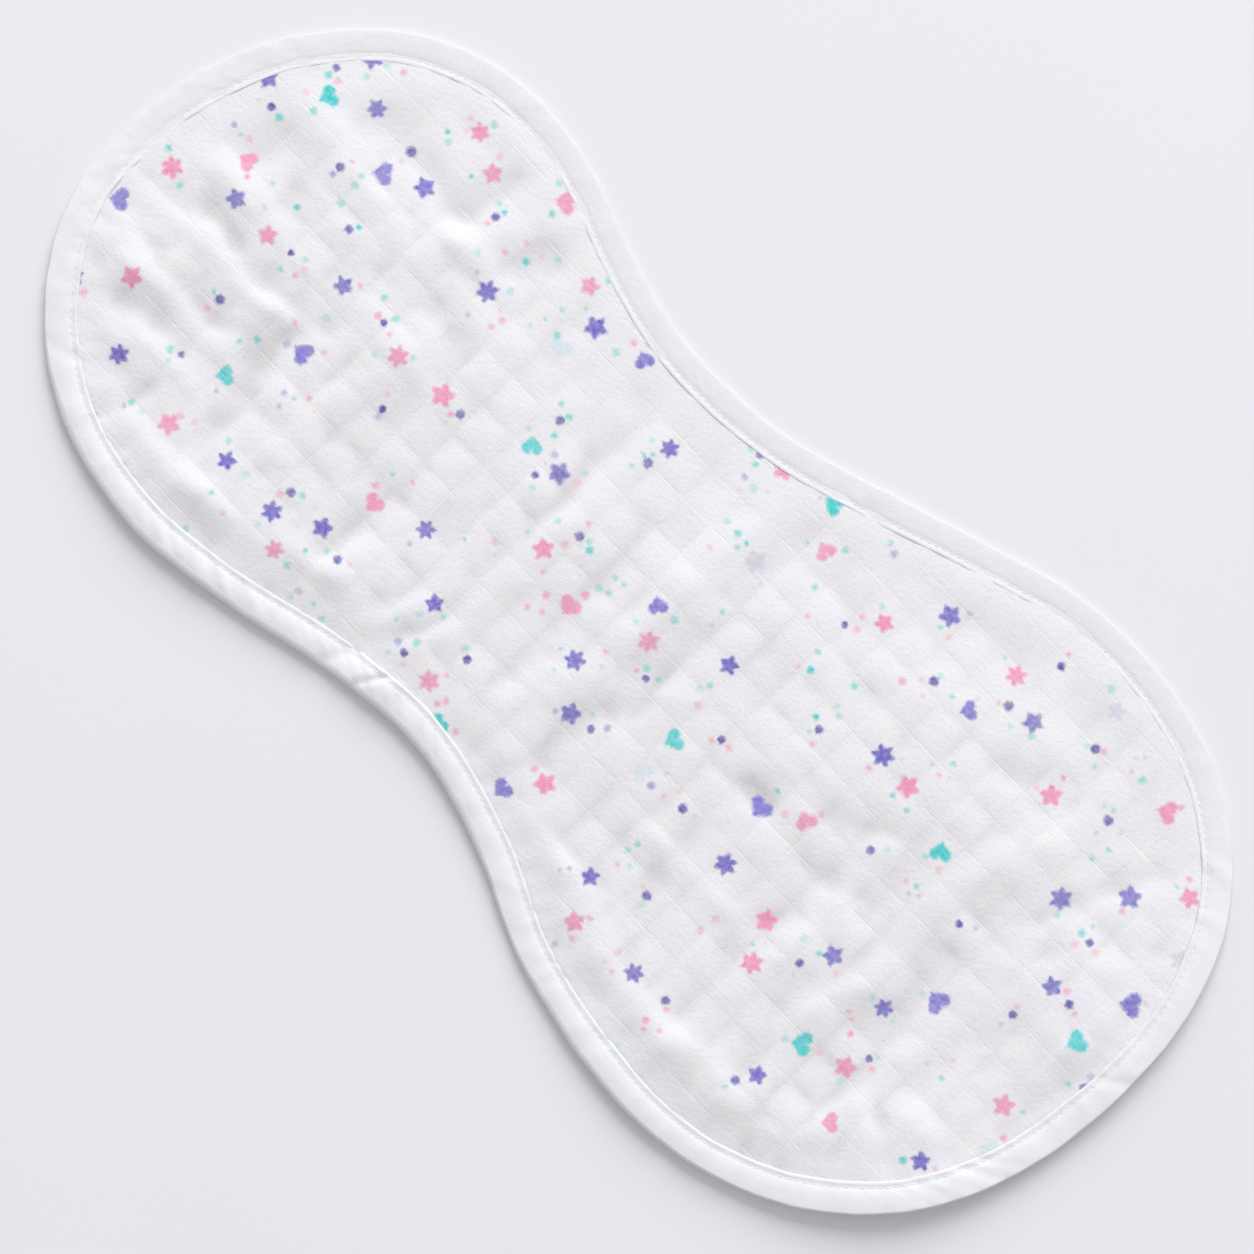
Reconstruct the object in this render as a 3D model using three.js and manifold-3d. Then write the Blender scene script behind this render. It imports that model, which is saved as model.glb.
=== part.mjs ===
// A peanut-shaped burp cloth lying flat on a table. Its panel is soft muslin in several layers,
// tied together in small squares, and a folded bias strip is sewn round the panel's edge.
// Millimetres. X runs along the cloth, from the narrow lobe to the wide one, Y runs across it
// and Z is up. The origin is on the table, under the middle of the cloth.

import * as THREE from "three";
import { mergeVertices } from "three/addons/utils/BufferGeometryUtils.js";
import Module from "manifold-3d";

const wasm = await Module();
wasm.setup();

// Driving dimensions
const CLOTH_LENGTH = 508;
const CLEARANCE = 0.3;

// The bias strip: a leg of folded cloth above and below the panel's edge, joined by a round roll
const STRIP_WIDTH = 11.5;
const STRIP_WIDTH_CHANGE = 0.9; // wider on the far side of the cloth, narrower on the near side
const STRIP_LEG = 0.9;
const STRIP_TOP = 3.8;
const STRIP_ROLL = 2.2; // from the outer edge to the closed end of the slot
const STRIP_SECTIONS = 138;

// The panel: its edge is pressed thin inside the strip, and it swells to full thickness inwards
const TONGUE_THICKNESS = 1.2;
const PANEL_EDGE_HEIGHT = 3.1;
const PANEL_HEIGHT = 4.9; // on the puffs between the tie lines, before any fold
const PANEL_SWELL_REACH = 20;
const PANEL_LEAST_HEIGHT = 2.9;
const TIE_PITCH = 15; // between the lines of threads that tie the layers together
const TIE_DEPTH_ALONG = 0.8; // of the dip on a line that runs along the cloth
const TIE_DEPTH_ACROSS = 0.4;
const SLAB_OVERLAP = 10; // how far the cutting shapes reach past what they cut

const SLOT_FLOOR = STRIP_LEG;
const TONGUE_FLOOR = SLOT_FLOOR + CLEARANCE;
const TONGUE_TOP = TONGUE_FLOOR + TONGUE_THICKNESS;
const SLOT_ROOF = TONGUE_TOP + CLEARANCE;

// Points that the outer edge passes through, anticlockwise from the end of the wide lobe: x, y
const EDGE_KNOTS = [
  [254, -1], [251, 43], [234, 83], [201, 112], [160, 125], [116, 125],
  [74, 113], [32, 99], [-10, 87], [-54, 85], [-95, 94], [-117, 102],
  [-138, 107], [-160, 108], [-181, 104], [-201, 95], [-219, 81], [-243, 46],
  [-254, 4], [-250, -40], [-227, -76], [-191, -100], [-148, -108], [-104, -103],
  [-61, -93], [-18, -89], [25, -99], [65, -116], [108, -125], [152, -125],
  [193, -111], [226, -83], [247, -44],
];

// Soft ridges and troughs of the crinkled muslin. Each is long along its turn, in degrees from X,
// and its rise is negative for a trough.
const FOLDS = [
  // The narrow lobe: long puckers that run along the cloth
  { x: -196, y: 42, length: 62, width: 16, turn: -4, rise: 0.9 },
  { x: -192, y: 24, length: 70, width: 13, turn: 3, rise: -1.2 },
  { x: -200, y: 6, length: 70, width: 15, turn: -2, rise: 1.1 },
  { x: -196, y: -8, length: 78, width: 10, turn: 0, rise: -0.9 },
  { x: -192, y: -18, length: 66, width: 11, turn: 2, rise: 0.7 },
  { x: -204, y: -30, length: 60, width: 11, turn: -6, rise: -0.9 },
  { x: -190, y: -41, length: 56, width: 12, turn: 4, rise: 0.6 },
  { x: -190, y: -52, length: 60, width: 10, turn: 2, rise: -0.5 },
  { x: -182, y: -66, length: 54, width: 12, turn: 8, rise: -0.5 },
  { x: -149, y: 70, length: 40, width: 11, turn: 55, rise: -1.1 },
  { x: -134, y: 76, length: 42, width: 13, turn: 62, rise: 0.9 },
  { x: -113, y: 72, length: 32, width: 12, turn: 70, rise: -0.8 },
  { x: -124, y: 32, length: 48, width: 14, turn: -8, rise: -0.7 },
  { x: -118, y: 4, length: 60, width: 16, turn: 0, rise: 0.6 },
  // The waist: short puckers that run across the cloth
  { x: -93, y: -62, length: 42, width: 10, turn: 84, rise: -0.6 },
  { x: -82, y: -60, length: 44, width: 10, turn: 86, rise: 0.6 },
  { x: -58, y: -64, length: 38, width: 9, turn: 90, rise: -0.7 },
  { x: -47, y: 20, length: 110, width: 12, turn: 90, rise: 0.7 },
  { x: -60, y: 52, length: 42, width: 11, turn: 82, rise: -0.9 },
  { x: -34, y: -50, length: 56, width: 12, turn: 94, rise: 0.6 },
  { x: 2, y: -46, length: 64, width: 14, turn: 84, rise: 0.9 },
  { x: 14, y: -44, length: 58, width: 12, turn: 82, rise: -0.9 },
  // The wide lobe
  { x: 58, y: 60, length: 56, width: 13, turn: -4, rise: -1.0 },
  { x: 60, y: 80, length: 60, width: 16, turn: 12, rise: 0.6 },
  { x: 86, y: 12, length: 46, width: 14, turn: 0, rise: 0.8 },
  { x: 88, y: -12, length: 52, width: 12, turn: -2, rise: -1.1 },
  { x: 82, y: -48, length: 80, width: 14, turn: 0, rise: 0.7 },
  { x: 80, y: -63, length: 88, width: 12, turn: 2, rise: -0.8 },
  { x: 122, y: -48, length: 46, width: 12, turn: 86, rise: -0.7 },
  { x: 156, y: 42, length: 52, width: 16, turn: 24, rise: -0.9 },
  { x: 150, y: 66, length: 56, width: 18, turn: 14, rise: 0.7 },
  { x: 167, y: -44, length: 70, width: 12, turn: 88, rise: -1.1 },
  { x: 181, y: -48, length: 70, width: 16, turn: 84, rise: 0.8 },
  { x: 189, y: 62, length: 50, width: 12, turn: 62, rise: -0.9 },
  { x: 203, y: 64, length: 48, width: 12, turn: 54, rise: 0.9 },
  { x: 219, y: 48, length: 46, width: 12, turn: 44, rise: -0.6 },
  { x: 212, y: 8, length: 48, width: 14, turn: 4, rise: -0.8 },
  { x: 206, y: -6, length: 54, width: 14, turn: 2, rise: 0.7 },
];

// The outer edge as evenly spaced points, moved and sized so that its box is CLOTH_LENGTH long and
// centred on the origin
function outerEdge(count) {
  const knots = EDGE_KNOTS.map(([x, y]) => new THREE.Vector3(x, y, 0));
  const points = new THREE.CatmullRomCurve3(knots, true, "centripetal").getSpacedPoints(count);
  points.pop();
  const box = new THREE.Box3().setFromPoints(points);
  const centre = box.getCenter(new THREE.Vector3());
  const scale = CLOTH_LENGTH / (box.max.x - box.min.x);
  return points.map((point) => point.sub(centre).multiplyScalar(scale));
}

// The unit vector at each point that lies in the table's plane and points into the cloth
function inwardNormals(points) {
  return points.map((_, i) => {
    const before = points[(i + points.length - 1) % points.length];
    const after = points[(i + 1) % points.length];
    const along = after.clone().sub(before).normalize();
    return new THREE.Vector3(-along.y, along.x, 0);
  });
}

const EDGE = outerEdge(STRIP_SECTIONS);
const INWARD = inwardNormals(EDGE);

// How wide the strip shows at a section: it was folded a little off its middle
function stripWidth(i) {
  return STRIP_WIDTH - STRIP_WIDTH_CHANGE * INWARD[i].y;
}

function insetEdge(distanceAt) {
  return EDGE.map((point, i) => point.clone().addScaledVector(INWARD[i], distanceAt(i)));
}

// The strip's section as distance inwards from the outer edge and height above the table
function stripSection(width, lift) {
  return [
    [width, 0.3],
    [width - 0.5, 0],
    [3, 0],
    [1.1, 0.35],
    [0.25, 1.05],
    [0, 1.9],
    [0.35, 2.75],
    [1.4, STRIP_TOP - 0.35],
    [3.4, STRIP_TOP + lift],
    [width * 0.58, STRIP_TOP + 0.15 + lift],
    [width - 2.4, STRIP_TOP - 0.3], // drawn down by the row of stitches
    [width - 0.9, STRIP_TOP],
    [width, STRIP_TOP - 0.5],
    [width - 0.2, SLOT_ROOF],
    [STRIP_ROLL, SLOT_ROOF],
    [STRIP_ROLL, SLOT_FLOOR],
    [width - 0.2, SLOT_FLOOR],
  ];
}

// Two slow waves and a short one stand for the unevenness of a strip that is sewn round a curve
function stripLift(i) {
  const turn = (i / STRIP_SECTIONS) * Math.PI * 2;
  return 0.12 * Math.sin(5 * turn + 0.4) + 0.1 * Math.sin(17 * turn) + 0.1 * Math.sin(41 * turn);
}

// A closed ring made by joining each section to the next
function edgeBinding() {
  const positions = [];
  const indices = [];
  const sections = EDGE.map((_, i) => stripSection(stripWidth(i), stripLift(i)));
  const around = sections[0].length;
  sections.forEach((section, i) => {
    for (const [inwards, height] of section) {
      const point = EDGE[i].clone().addScaledVector(INWARD[i], inwards);
      positions.push(point.x, point.y, height);
    }
  });
  for (let i = 0; i < STRIP_SECTIONS; i += 1) {
    const next = (i + 1) % STRIP_SECTIONS;
    for (let k = 0; k < around; k += 1) {
      const a = i * around + k;
      const b = i * around + ((k + 1) % around);
      const c = next * around + k;
      const d = next * around + ((k + 1) % around);
      indices.push(a, d, b, a, c, d);
    }
  }
  const geometry = new THREE.BufferGeometry();
  geometry.setAttribute("position", new THREE.Float32BufferAttribute(positions, 3));
  geometry.setIndex(indices);
  return geometry;
}

// The line where the panel comes out from under the strip
const CREASE = insetEdge((i) => stripWidth(i) + CLEARANCE);

// How far a point lies inside the crease line, or zero outside it
function depthInside(x, y) {
  let nearest = Infinity;
  let inside = false;
  CREASE.forEach((a, i) => {
    const b = CREASE[(i + 1) % CREASE.length];
    const dx = b.x - a.x;
    const dy = b.y - a.y;
    const share = ((x - a.x) * dx + (y - a.y) * dy) / (dx * dx + dy * dy);
    const t = THREE.MathUtils.clamp(share, 0, 1);
    nearest = Math.min(nearest, Math.hypot(x - a.x - t * dx, y - a.y - t * dy));
    const crosses = a.y > y !== b.y > y;
    if (crosses && x < a.x + ((y - a.y) / dy) * dx) inside = !inside;
  });
  return inside ? nearest : 0;
}

function foldsAt(x, y) {
  let height = 0;
  for (const fold of FOLDS) {
    const turn = THREE.MathUtils.degToRad(fold.turn);
    const along = (x - fold.x) * Math.cos(turn) + (y - fold.y) * Math.sin(turn);
    const across = (y - fold.y) * Math.cos(turn) - (x - fold.x) * Math.sin(turn);
    const reach = (along / (fold.length / 2)) ** 2 + (across / (fold.width / 2)) ** 2;
    height += fold.rise * Math.exp(-reach);
  }
  return height;
}

// The dip along the lines of tying threads, full on a line and none midway between two
function tieDip(x, y) {
  const dip = (distance) => Math.cos((distance / TIE_PITCH) * Math.PI) ** 2;
  return Math.max(TIE_DEPTH_ALONG * dip(y), TIE_DEPTH_ACROSS * dip(x));
}

function panelHeight(x, y) {
  const swell = THREE.MathUtils.smoothstep(depthInside(x, y), 0, PANEL_SWELL_REACH);
  const rise = PANEL_HEIGHT - PANEL_EDGE_HEIGHT - tieDip(x, y) + foldsAt(x, y);
  return Math.max(PANEL_LEAST_HEIGHT, PANEL_EDGE_HEIGHT + swell * rise);
}

function toSolid(geometry) {
  const bare = geometry.clone();
  bare.deleteAttribute("normal");
  bare.deleteAttribute("uv");
  const merged = mergeVertices(bare, 1e-5);
  const vertProperties = new Float32Array(merged.attributes.position.array);
  const triVerts = new Uint32Array(merged.index.array);
  return new wasm.Manifold(new wasm.Mesh({ numProp: 3, vertProperties, triVerts }));
}

function toGeometry(solid) {
  const { vertProperties, triVerts } = solid.getMesh();
  const geometry = new THREE.BufferGeometry();
  geometry.setAttribute("position", new THREE.BufferAttribute(vertProperties, 3));
  geometry.setIndex(new THREE.BufferAttribute(triVerts, 1));
  return geometry;
}

function prism(points, floor, roof) {
  const shape = new THREE.Shape(points.map((point) => new THREE.Vector2(point.x, point.y)));
  const geometry = new THREE.ExtrudeGeometry(shape, { depth: roof - floor, bevelEnabled: false });
  return geometry.translate(0, 0, floor);
}

// A slab on the tie lines and the lines midway between them, with the crinkled top. It reaches below
// the table, and the crease line's prism cuts it level there.
function crinkledSlab() {
  const step = TIE_PITCH / 2;
  const box = new THREE.Box3().setFromPoints(CREASE);
  const left = Math.floor(box.min.x / step) - 1;
  const right = Math.ceil(box.max.x / step) + 1;
  const near = Math.floor(box.min.y / step) - 1;
  const far = Math.ceil(box.max.y / step) + 1;
  const columns = right - left;
  const rows = far - near;
  const slab = new THREE.BoxGeometry(columns * step, rows * step, 1, columns, rows, 1);
  slab.translate(((left + right) / 2) * step, ((near + far) / 2) * step, 0.5);
  const position = slab.attributes.position;
  for (let i = 0; i < position.count; i += 1) {
    const onTop = position.getZ(i) > 0.5;
    position.setZ(i, onTop ? panelHeight(position.getX(i), position.getY(i)) : -SLAB_OVERLAP);
  }
  return slab;
}

function muslinPanel() {
  const tongueEdge = insetEdge(() => STRIP_ROLL + CLEARANCE);
  const body = toSolid(crinkledSlab()).intersect(toSolid(prism(CREASE, 0, PANEL_HEIGHT + SLAB_OVERLAP)));
  return toGeometry(body.add(toSolid(prism(tongueEdge, TONGUE_FLOOR, TONGUE_TOP))));
}

function part(name, geometry, color, roughness) {
  geometry.computeVertexNormals();
  const material = new THREE.MeshStandardMaterial({ color, roughness, metalness: 0 });
  const mesh = new THREE.Mesh(geometry, material);
  mesh.name = name;
  return mesh;
}

const burpCloth = new THREE.Group();
burpCloth.add(part("muslin_panel", muslinPanel(), 0xf3f2f6, 0.95));
burpCloth.add(part("edge_binding", edgeBinding(), 0xf6f6f9, 0.9));

export default burpCloth;
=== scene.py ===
"""A peanut-shaped burp cloth of tied muslin layers with a bound edge, lying on a pale table.

Lengths in the tables and the shape functions are millimetres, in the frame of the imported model:
X along the cloth, Y across it, Z up from the table. Meshes are made in metres.
"""
import math
import random
from collections import namedtuple

import bpy
import numpy as np
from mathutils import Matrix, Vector, kdtree, noise


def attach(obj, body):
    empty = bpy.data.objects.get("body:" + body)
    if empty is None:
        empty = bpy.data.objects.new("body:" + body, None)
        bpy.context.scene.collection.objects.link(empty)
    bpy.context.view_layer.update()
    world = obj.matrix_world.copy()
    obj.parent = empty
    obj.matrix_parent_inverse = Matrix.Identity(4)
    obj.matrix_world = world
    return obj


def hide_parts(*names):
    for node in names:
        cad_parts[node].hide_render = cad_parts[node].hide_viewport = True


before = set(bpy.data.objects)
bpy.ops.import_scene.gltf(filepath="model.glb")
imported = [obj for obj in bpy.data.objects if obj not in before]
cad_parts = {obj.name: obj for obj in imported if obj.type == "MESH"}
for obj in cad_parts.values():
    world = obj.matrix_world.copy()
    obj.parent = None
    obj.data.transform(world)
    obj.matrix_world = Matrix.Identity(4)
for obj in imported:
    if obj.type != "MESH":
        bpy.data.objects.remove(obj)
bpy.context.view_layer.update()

MM = 0.001
TAU = math.tau


def rows_of(columns, *rows):
    """A table as a list of rows, whose columns have names."""
    row_kind = namedtuple("Row", columns)
    return [row_kind(*row) for row in rows]


# The bias strip
STRIP_WIDTH = 11.95
STRIP_WIDTH_CHANGE = 0.55
OUTERMOST_HEIGHT = 1.9
ROLL_RADIUS = 0.22
CURLED_ROLL_RADIUS = 2.9
STRIP_HEIGHT = 3.78
STRIP_CROWN_INSET = 6.0
FLAT_SIDE_CROWN_INSET = 2.8
STRIP_FALL = 0.04
STRIP_OUTER_FALL = 0.012
CURLED_OUTER_FALL = 0.018
FLAT_SIDE_OUTER_FALL = 0.025
SLOT_DEPTH = 2.2
SLOT_FLOOR = 0.9
SLOT_ROOF = 2.7
MOUTH_ROOF = 3.1
FOLD_RADIUS = 0.48
EDGE_STEPS = 8
# How far back from its inner fold the strip's top has close rows of points
TOP_ROWS_BACK = (6.6, 5.6, 4.7, 4.0, 3.4, 2.9, 2.5, 2.1, 1.7, 1.3, 0.95, 0.66)
# Points of its underside: how far back they lie, and how high
STRIP_UNDERSIDE = ((1.1, 0.14), (1.35, 0.34), (1.6, 0.14), (2.2, 0.02), (4.2, 0.0), (6.4, 0.0))

# The row of stitches
STITCH_INSET = 2.3
STITCH_GROOVE = 0.18
STITCH_GROOVE_WIDTH = 1.05
FOLD_BEAD = 0.12
FOLD_BEAD_INSET = 0.9
FOLD_BEAD_WIDTH = 1.0
STITCH_LENGTH = 2.5
STITCH_PITCH = 3.05
THREAD_RADIUS = 0.19
THREAD_SIDES = 6
# The rings along a stitch, as shares of its half length, and how far each sinks into the cloth
THREAD_SHARES = (-1, -0.8, -0.3, 0.3, 0.8, 1)
THREAD_SINK = (0.42, 0.12, 0.0, 0.0, 0.12, 0.42)

# The panel, and how many steps its grid has from the middle to each end and side
PANEL_STEP = 1.5
STEPS_TO_END = 170
STEPS_TO_SIDE = 85
PANEL_RIM = 2.5
TONGUE_FLOOR = 1.2
TONGUE_TOP = 2.4
PANEL_EDGE_HEIGHT = 3.2
PANEL_HEIGHT = 4.9
PANEL_SWELL_REACH = 42
PANEL_SWELL_CHANGE = 18
RELIEF_REACH = 16
PANEL_LOWEST = 2.5
TIE_PITCH = 15
PUFF_HEIGHT = 0.5

# Each tie line dips in a narrow crease along the middle of a broad hollow
TIE_ALONG = {"crease": 0.06, "crease_width": 1.7, "hollow": 0.07}
TIE_ACROSS = {"crease": 0.08, "crease_width": 1.7, "hollow": 0.1}

FOLDS = rows_of(
    "x y length width turn rise",
    # The narrow lobe: puckers that run along the cloth
    (-204, 44, 40, 20, -14, 1.6), (-203, 22, 44, 20, -6, -1.7), (-213, 8, 44, 16, -4, 1.1),
    (-200, -9, 84, 13, 0, -1.0), (-192, -18, 66, 10, 3, 0.9), (-202, -30, 60, 12, -6, -0.9),
    (-214, -40, 44, 11, 10, 0.8), (-205, -52, 50, 12, 6, -0.8), (-185, -61, 50, 11, 8, 0.5),
    (-178, -71, 50, 12, 8, -0.6), (-132, 50, 36, 16, 10, 1.0), (-134, 27, 46, 16, 4, -1.0),
    (-203, 66, 50, 16, 45, 1.2), (-172, 77, 40, 11, 2, 0.9), (-172, 62, 50, 11, 0, -0.9),
    (-124, 6, 50, 16, 0, 0.7), (-140, -80, 50, 14, 4, 1.0),
    # Slanting and crosswise ones beside them
    (-147, 72, 44, 12, 62, -1.5), (-130, 68, 50, 16, 64, 1.1), (-110, 74, 36, 14, 75, -1.2),
    (-157, -38, 60, 14, 88, -1.6), (-129, -42, 60, 18, 80, 1.2),
    # The waist: puckers that run across the cloth
    (-91, -52, 60, 13, 84, -1.2), (-79, -50, 62, 12, 88, 1.0), (-66, -58, 50, 10, 86, -0.7),
    (-57, -60, 46, 8, 80, 0.6), (-50, -66, 44, 8, 74, -0.7), (-42, -64, 46, 8, 78, 0.6),
    (-34, -60, 50, 9, 84, -0.6), (-68, 55, 50, 14, 82, 1.0), (-50, 44, 90, 13, 90, -1.5),
    (-36, 20, 110, 14, 90, 1.0), (-14, 0, 120, 14, 90, -0.8), (6, 5, 150, 20, 89, 2.0),
    (22, -30, 90, 14, 86, -1.4), (14, 62, 40, 14, 84, 1.0), (28, 62, 40, 12, 88, -1.0),
    (-84, -70, 50, 12, 4, 0.9),
    # The wide lobe
    (82, 1, 24, 12, 0, 1.3), (83, -14, 26, 12, 0, -1.4), (100, 19, 70, 12, 18, 0.5),
    (106, 6, 70, 13, 16, -0.7), (125, -13, 60, 12, 4, -0.8), (75, -47, 80, 12, 0, 0.9),
    (66, -58, 54, 11, 3, -0.5), (116, -45, 56, 14, 88, -1.4), (133, -40, 60, 14, 88, 0.9),
    (156, -40, 100, 18, 88, 1.5), (172, -42, 76, 15, 86, -1.3), (190, -52, 60, 14, 82, 1.1),
    (168, 50, 80, 22, 78, 1.7), (198, 58, 60, 12, 68, -1.3), (209, 64, 46, 11, 62, 0.9),
    (225, 60, 30, 10, 50, -0.9), (212, 16, 60, 44, 10, 1.8), (122, -92, 90, 18, 2, 1.0),
    (58, -84, 40, 14, -14, 1.1), (58, 62, 44, 16, -4, -0.9), (84, 46, 40, 16, -10, -0.8),
    (60, 82, 60, 16, 12, 0.8), (150, 82, 50, 16, 20, 1.0), (146, 64, 50, 16, 16, -1.0),
    (104, 92, 50, 16, 12, -0.7), (118, 62, 50, 18, 4, 0.7),
)

# How far the folds stray from straight lines, and how unevenly they rise
FOLD_WANDER = 6.5
FOLD_PATCHINESS = 0.9
# The folds are lower than their tables say, except towards the narrow end
FOLD_STRENGTH = 0.74
NARROW_LOBE_STRENGTH = 1.26

# Swellings that follow the strip. Each lies nearest x, y, with its middle inset from the cloth's edge.
BORDER_PUFFS = rows_of(
    "x y reach inset width rise",
    (-200, 88, 55, 17, 6, 0.9), (-130, 104, 50, 17, 6, 0.9), (-20, 86, 60, 17, 6, 0.3),
    (70, 110, 60, 17, 6, 0.7), (140, 125, 60, 17, 6, 0.8), (-150, -104, 60, 22, 8, 0.8),
    (-30, -86, 55, 21, 8, 0.5), (60, -104, 50, 23, 9, 0.8), (130, -125, 60, 24, 10, 1.1),
    (225, -85, 45, 30, 12, 1.5), (250, 20, 45, 30, 12, 0.8),
)

# Stretches where the seam pulls the panel down more
SEAM_DIPS = rows_of(
    "x y reach dip",
    (-215, 75, 60, 0.3), (-110, 98, 60, 0.25), (-20, 86, 60, 0.3),
    (60, 105, 40, 0.2), (190, -100, 60, 0.35), (-100, -98, 70, 0.3),
)

# Creases across the strip. Each lies nearest x, y, and leans by so much along the strip. The last is
# where the two ends of the strip were sewn together, on the slant.
STRIP_CREASES = rows_of(
    "x y lean width rise",
    (-252, -18, 16, 4.0, 0.45), (-253, -4, 14, 3.5, -0.4), (-250, 22, 12, 4.0, 0.35),
    (-236, 58, -10, 3.5, -0.35), (-160, 108, 8, 4.0, 0.3), (-60, 86, -8, 3.5, -0.3),
    (30, 99, 10, 4.0, 0.3), (120, 125, -8, 3.5, -0.3), (222, 94, 10, 4.0, 0.35),
    (253, 10, -8, 3.0, -0.35), (236, -66, 9, 3.5, 0.35), (150, -125, -8, 4.0, -0.3),
    (40, -104, 9, 3.5, 0.3), (-60, -93, 10, 3.0, -0.45), (-120, -106, -8, 4.0, 0.3),
    (-215, -86, 9, 3.5, -0.35), (-45, -90, 11, 1.3, -0.9),
)
STRIP_JOIN = STRIP_CREASES[-1]
JOIN_BULK = 0.6
JOIN_REACH = 9

# Stretches where the cloth's border curls up off the table, and how far in the curl reaches
EDGE_LIFTS = rows_of(
    "x y reach rise",
    (228, -80, 50, 5.9), (130, -125, 50, 2.2), (-20, -89, 55, 1.5),
    (-140, -107, 60, 2.4), (250, 20, 55, 3.2),
)
EDGE_LIFT_REACH = 55

# The border lies pressed thinner along the side that faces this way
FLATTEST_SIDE = (-0.47, 0.88)
BORDER_THINNING = 0.58
THINNED_FROM = 12
THINNED_TO = 85

# The print: what is scattered, how many of it, and how far apart like motifs lie at least
PRINT_SEED = 23
PRINT = rows_of(
    "kind ink count apart size",
    ("heart", "teal", 9, 84, 1.0), ("heart", "rose", 8, 78, 0.98),
    ("heart", "blue_violet", 10, 68, 1.0), ("star", "rose", 18, 42, 1.0),
    ("six_star", "rose", 9, 60, 0.96), ("star", "violet", 21, 38, 0.96),
    ("six_star", "violet", 12, 50, 0.96), ("dot", "deep_violet", 46, 21, 1.0),
    ("star", "ghost", 4, 90, 0.95), ("heart", "pale_ghost", 3, 110, 1.0),
)

# Each kind of motif: its code, which is how many points a star has, the gaps to the next motif and to
# small dots, its least and greatest size, and how few, many, near and far the small dots round it are
Kind = namedtuple("Kind", "code gap dot_gap smallest largest sprinkles")
KINDS = {
    "dot": Kind(0, 8, 2.7, 0.7, 1.06, (1, 4, 3.0, 6.5)),
    "heart": Kind(1, 14, 5.0, 0.86, 1.08, (0, 2, 5.5, 8.5)),
    "star": Kind(5, 13.5, 5.0, 0.86, 1.08, (0, 2, 5.5, 8.5)),
    "six_star": Kind(6, 13.5, 5.0, 0.86, 1.08, (0, 2, 5.5, 8.5)),
}
MOTIF_REACH = 5.3
MOTIF_INSET = 8
MOTIF_STRENGTHS = (0.84, 1.0)
LOOSE_GROUPS = 62
LOOSE_GROUP = (2, 5, 0.0, 9.0)
LOOSE_GROUP_GAP = 17
LOOSE_GROUP_INSET = 10
SPRINKLE_GAP = 3.1
SPRINKLE_RADII = [0.8, 1.0, 1.15, 1.3, 1.5]
SPRINKLE_INKS = 4 * ["mint"] + 3 * ["pale_rose"] + ["teal", "rose", "lilac"]
# Where a face's corners lie when no motif covers it
FAR_OFF = 99.0

# Inks as red, green, blue out of 255, and how strongly they cover
INKS = {
    "violet": (101, 90, 193, 0.94), "blue_violet": (112, 104, 202, 0.95),
    "deep_violet": (89, 78, 168, 0.94), "lilac": (140, 132, 200, 0.78),
    "rose": (240, 122, 173, 0.8), "pale_rose": (244, 150, 180, 0.75),
    "teal": (32, 204, 206, 0.97), "mint": (104, 212, 196, 0.8),
    "ghost": (168, 162, 206, 0.3), "pale_ghost": (130, 205, 215, 0.24),
}


def linear(red, green, blue):
    """A colour given out of 255 in the linear values that shaders use."""
    shares = [value / 255 for value in (red, green, blue)]
    return [s / 12.92 if s <= 0.04045 else ((s + 0.055) / 1.055) ** 2.4 for s in shares]


def turned(x, y, turn):
    """x and y along axes that are turned by an angle."""
    return x * math.cos(turn) + y * math.sin(turn), y * math.cos(turn) - x * math.sin(turn)


def smooth_share(value, low, high):
    share = np.clip((value - low) / (high - low), 0, 1)
    return share * share * (3 - 2 * share)


def field(x, y, length, width, layer):
    """Noise from -1 to 1 with lumps length long and width wide. Each layer is a pattern of its own."""
    places = zip(np.ravel(x) / length, np.ravel(y) / width)
    values = [noise.noise(Vector((u, v, layer))) for u, v in places]
    return np.array(values).reshape(np.shape(x))


# The cloth's outer edge


def edge_from_solid():
    """The edge strip's outermost points, anticlockwise, in millimetres."""
    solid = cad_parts["edge_binding"].data
    corners = np.array([vertex.co for vertex in solid.vertices]) / MM
    outermost = np.abs(corners[:, 2] - OUTERMOST_HEIGHT) < 0.05
    ring = np.unique(np.round(corners[outermost, :2], 2), axis=0)
    return ring[np.argsort(np.arctan2(ring[:, 1], ring[:, 0]))]


def smooth_ring(ring, steps):
    """More points on a smooth closed curve through a ring of points."""
    before, start, end, after = (np.roll(ring, shift, axis=0) for shift in (1, 0, -1, -2))
    rows = []
    for t in np.arange(steps) / steps:
        bend = (2 * before - 5 * start + 4 * end - after) * t * t
        turn = (3 * start - before - 3 * end + after) * t ** 3
        rows.append(0.5 * (2 * start + (end - before) * t + bend + turn))
    return np.stack(rows, axis=1).reshape(-1, 2)


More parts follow.
